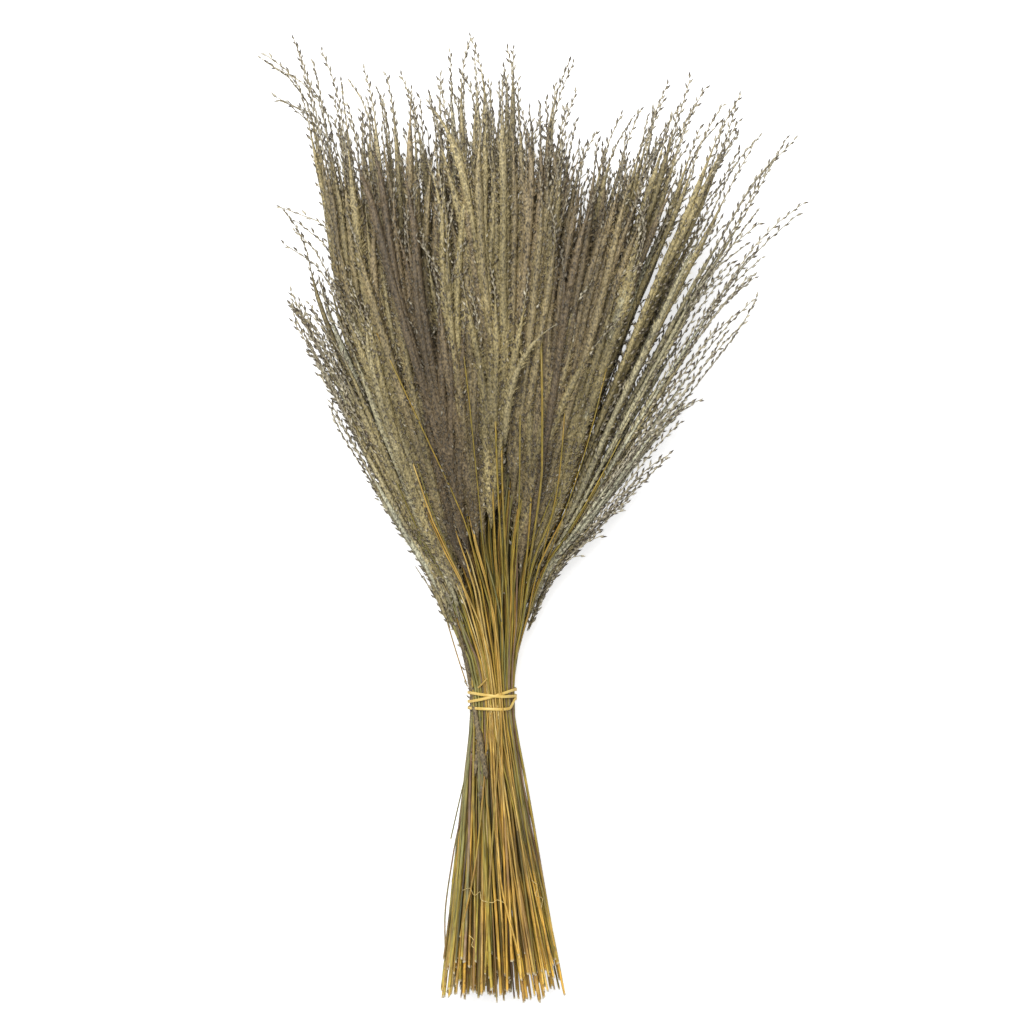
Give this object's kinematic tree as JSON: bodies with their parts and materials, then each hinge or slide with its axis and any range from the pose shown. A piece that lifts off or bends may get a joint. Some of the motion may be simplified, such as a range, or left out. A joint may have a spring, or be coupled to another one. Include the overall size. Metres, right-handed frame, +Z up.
{
  "type": "dried grass bundle",
  "caption": "Bundle of dried plume grass lying down: long straw stems tied at their lower third by an elastic band and fanning out into soft feathery plumes.",
  "frame": {"origin": "middle of the bundle's footprint, on the surface it lies on", "axes": "+Y along the bundle from the cut ends towards the plumes, +Z up, +X to the right when looking down with the plumes at the top"},
  "size_m": [0.4042, 0.7294, 0.1297],
  "materials": {
    "straw": "dry golden straw, faintly glossy",
    "inner_straw": "dry olive straw, dull",
    "plume": "soft silky seed hairs, matt",
    "rubber": "natural tan rubber, satin"
  },
  "bodies": {
    "root": {"elastic_band": "rubber", "inner_stems_1": "inner_straw", "inner_stems_2": "inner_straw", "inner_stems_3": "inner_straw", "inner_stems_4": "inner_straw", "inner_stems_5": "inner_straw", "inner_stems_6": "inner_straw", "inner_stems_7": "inner_straw", "plume_01": "plume", "plume_02": "plume", "plume_03": "plume", "plume_04": "plume", "plume_05": "plume", "plume_06": "plume", "plume_07": "plume", "plume_08": "plume", "plume_09": "plume", "plume_10": "plume", "plume_11": "plume", "plume_12": "plume", "plume_13": "plume", "plume_14": "plume", "plume_15": "plume", "plume_16": "plume", "plume_17": "plume", "plume_18": "plume", "plume_19": "plume", "plume_20": "plume", "plume_21": "plume", "plume_22": "plume", "plume_23": "plume", "plume_24": "plume", "plume_25": "plume", "plume_26": "plume", "plume_27": "plume", "plume_28": "plume", "plume_29": "plume", "plume_30": "plume", "plume_31": "plume", "plume_32": "plume", "stem_01": "straw", "stem_02": "straw", "stem_03": "straw", "stem_04": "straw", "stem_05": "straw", "stem_06": "straw", "stem_07": "straw", "stem_08": "straw", "stem_09": "straw", "stem_10": "straw", "stem_11": "straw", "stem_12": "straw", "stem_13": "straw", "stem_14": "straw", "stem_15": "straw", "stem_16": "straw", "stem_17": "straw", "stem_18": "straw", "stem_19": "straw", "stem_20": "straw"}
  },
  "joints": []
}
